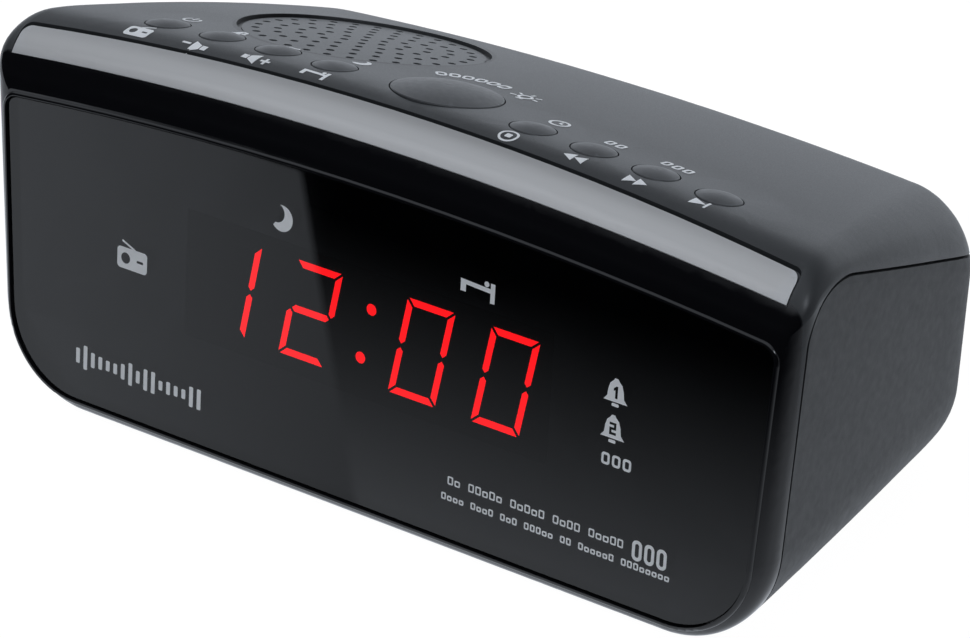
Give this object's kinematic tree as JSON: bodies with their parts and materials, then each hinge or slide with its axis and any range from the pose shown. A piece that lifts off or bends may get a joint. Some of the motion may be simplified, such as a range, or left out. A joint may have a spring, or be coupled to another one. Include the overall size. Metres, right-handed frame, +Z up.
{
  "type": "clock radio",
  "caption": "Wedge-shaped clock radio with a smoked display window, silver trim strip, row of round top buttons, large snooze button and a perforated speaker grille.",
  "frame": {"origin": "on the table under the middle of the overall box, cord stub included", "axes": "+X to the right seen from the front, +Y from the front to the back, +Z up"},
  "size_m": [0.2154, 0.1184, 0.093],
  "materials": {
    "satin_black_plastic": "satin",
    "matte_black_plastic": "fine texture",
    "smoked_acrylic": "gloss, smoked clear",
    "silver_paint": "satin silver",
    "button_plastic": "satin",
    "plunger_plastic": "satin",
    "switch_plastic": "satin",
    "circuit_board": "satin",
    "screw_steel": "zinc plated",
    "display_black": "matte",
    "lit_red": "lit red",
    "unlit_segments": "dark diffuser",
    "lamp_clear": "clear",
    "chip_black": "matte",
    "capacitor_sleeve": "sleeved",
    "tinned_steel": "tinned",
    "core_steel": "laminated",
    "coil_tape": "taped",
    "cell_sleeve": "sleeved",
    "magnet_ferrite": "sintered",
    "cone_paper": "felted",
    "cord_black": "soft",
    "ribbon_grey": "satin",
    "wire_red": "satin",
    "foot_rubber": "matte"
  },
  "bodies": {
    "cabinet": {"backup_batteries": "cell_sleeve", "battery_contacts": "tinned_steel", "cabinet_screws": "screw_steel", "dark_segments": "unlit_segments", "display_board": "circuit_board", "display_board_screws": "screw_steel", "display_housing": "display_black", "display_ribbon": "ribbon_grey", "fm_antenna_wire": "cord_black", "front_lens": "smoked_acrylic", "front_top_cabinet": "satin_black_plastic", "indicator_lamps": "lamp_clear", "key_board": "circuit_board", "key_board_screws": "screw_steel", "key_ribbon": "ribbon_grey", "key_switch_bodies": "switch_plastic", "lit_segments": "lit_red", "main_board": "circuit_board", "main_board_chips": "chip_black", "main_board_screws": "screw_steel", "main_capacitors": "capacitor_sleeve", "mains_cord": "cord_black", "rear_cabinet": "matte_black_plastic", "rubber_feet": "foot_rubber", "silver_trim_strip": "silver_paint", "speaker_frame": "tinned_steel", "speaker_magnet": "magnet_ferrite", "speaker_screws": "screw_steel", "speaker_wires": "wire_red", "strain_relief": "cord_black", "transformer_bracket": "tinned_steel", "transformer_coil": "coil_tape", "transformer_core": "core_steel", "transformer_screws": "screw_steel", "tuner_shield": "tinned_steel"},
    "radio_power_button": {"radio_power_button": "button_plastic"},
    "radio_power_plunger": {"radio_power_plunger": "plunger_plastic"},
    "volume_down_button": {"volume_down_button": "button_plastic"},
    "volume_down_plunger": {"volume_down_plunger": "plunger_plastic"},
    "volume_up_button": {"volume_up_button": "button_plastic"},
    "volume_up_plunger": {"volume_up_plunger": "plunger_plastic"},
    "sleep_button": {"sleep_button": "button_plastic"},
    "sleep_plunger": {"sleep_plunger": "plunger_plastic"},
    "snooze_button": {"snooze_button": "button_plastic"},
    "snooze_plunger": {"snooze_plunger": "plunger_plastic"},
    "memory_clock_button": {"memory_clock_button": "button_plastic"},
    "memory_clock_plunger": {"memory_clock_plunger": "plunger_plastic"},
    "hour_button": {"hour_button": "button_plastic"},
    "hour_plunger": {"hour_plunger": "plunger_plastic"},
    "minute_button": {"minute_button": "button_plastic"},
    "minute_plunger": {"minute_plunger": "plunger_plastic"},
    "preset_button": {"preset_button": "button_plastic"},
    "preset_plunger": {"preset_plunger": "plunger_plastic"},
    "battery_door": {"battery_door": "matte_black_plastic"},
    "speaker_cone": {"speaker_cone": "cone_paper"}
  },
  "joints": [
    {"name": "radio_power_press", "type": "slide", "parent": "cabinet", "child": "radio_power_button", "axis": [0.0727, -0.2238, -0.9719], "range_m": [0, 0.0006], "stiffness_N_per_m": 40},
    {"name": "volume_down_press", "type": "slide", "parent": "cabinet", "child": "volume_down_button", "axis": [0.0572, -0.224, -0.9729], "range_m": [0, 0.0006], "stiffness_N_per_m": 40},
    {"name": "volume_up_press", "type": "slide", "parent": "cabinet", "child": "volume_up_button", "axis": [0.0417, -0.2241, -0.9737], "range_m": [0, 0.0006], "stiffness_N_per_m": 40},
    {"name": "sleep_press", "type": "slide", "parent": "cabinet", "child": "sleep_button", "axis": [0.0262, -0.2242, -0.9742], "range_m": [0, 0.0006], "stiffness_N_per_m": 40},
    {"name": "snooze_press", "type": "slide", "parent": "cabinet", "child": "snooze_button", "axis": [0, -0.2343, -0.9722], "range_m": [0, 0.0006], "stiffness_N_per_m": 40},
    {"name": "memory_clock_press", "type": "slide", "parent": "cabinet", "child": "memory_clock_button", "axis": [-0.0262, -0.2242, -0.9742], "range_m": [0, 0.0006], "stiffness_N_per_m": 40},
    {"name": "hour_press", "type": "slide", "parent": "cabinet", "child": "hour_button", "axis": [-0.0417, -0.2241, -0.9737], "range_m": [0, 0.0006], "stiffness_N_per_m": 40},
    {"name": "minute_press", "type": "slide", "parent": "cabinet", "child": "minute_button", "axis": [-0.0572, -0.224, -0.9729], "range_m": [0, 0.0006], "stiffness_N_per_m": 40},
    {"name": "preset_press", "type": "slide", "parent": "cabinet", "child": "preset_button", "axis": [-0.0727, -0.2238, -0.9719], "range_m": [0, 0.0006], "stiffness_N_per_m": 40},
    {"name": "radio_power_switch", "type": "slide", "parent": "cabinet", "child": "radio_power_plunger", "axis": [0, -0.2198, -0.9755], "range_m": [0, 0.0006]},
    {"name": "volume_down_switch", "type": "slide", "parent": "cabinet", "child": "volume_down_plunger", "axis": [0, -0.2198, -0.9755], "range_m": [0, 0.0006]},
    {"name": "volume_up_switch", "type": "slide", "parent": "cabinet", "child": "volume_up_plunger", "axis": [0, -0.2198, -0.9755], "range_m": [0, 0.0006]},
    {"name": "sleep_switch", "type": "slide", "parent": "cabinet", "child": "sleep_plunger", "axis": [0, -0.2198, -0.9755], "range_m": [0, 0.0006]},
    {"name": "snooze_switch", "type": "slide", "parent": "cabinet", "child": "snooze_plunger", "axis": [0, -0.2198, -0.9755], "range_m": [0, 0.0006]},
    {"name": "memory_clock_switch", "type": "slide", "parent": "cabinet", "child": "memory_clock_plunger", "axis": [0, -0.2198, -0.9755], "range_m": [0, 0.0006]},
    {"name": "hour_switch", "type": "slide", "parent": "cabinet", "child": "hour_plunger", "axis": [0, -0.2198, -0.9755], "range_m": [0, 0.0006]},
    {"name": "minute_switch", "type": "slide", "parent": "cabinet", "child": "minute_plunger", "axis": [0, -0.2198, -0.9755], "range_m": [0, 0.0006]},
    {"name": "preset_switch", "type": "slide", "parent": "cabinet", "child": "preset_plunger", "axis": [0, -0.2198, -0.9755], "range_m": [0, 0.0006]},
    {"name": "battery_door_hinge", "type": "hinge", "parent": "cabinet", "child": "battery_door", "pos_m": [0, -0.0169, 0.0017], "axis": [-1, 0, 0], "range_deg": [0, 85]},
    {"name": "speaker_cone_throw", "type": "slide", "parent": "cabinet", "child": "speaker_cone", "axis": [-0.0437, 0.2864, 0.9571], "range_m": [-0.0005, 0.0005], "stiffness_N_per_m": 200}
  ],
  "couplings": [
    {"joint": "radio_power_switch", "follows": "radio_power_press", "ratio": 1},
    {"joint": "volume_down_switch", "follows": "volume_down_press", "ratio": 1},
    {"joint": "volume_up_switch", "follows": "volume_up_press", "ratio": 1},
    {"joint": "sleep_switch", "follows": "sleep_press", "ratio": 1},
    {"joint": "snooze_switch", "follows": "snooze_press", "ratio": 1},
    {"joint": "memory_clock_switch", "follows": "memory_clock_press", "ratio": 1},
    {"joint": "hour_switch", "follows": "hour_press", "ratio": 1},
    {"joint": "minute_switch", "follows": "minute_press", "ratio": 1},
    {"joint": "preset_switch", "follows": "preset_press", "ratio": 1}
  ]
}
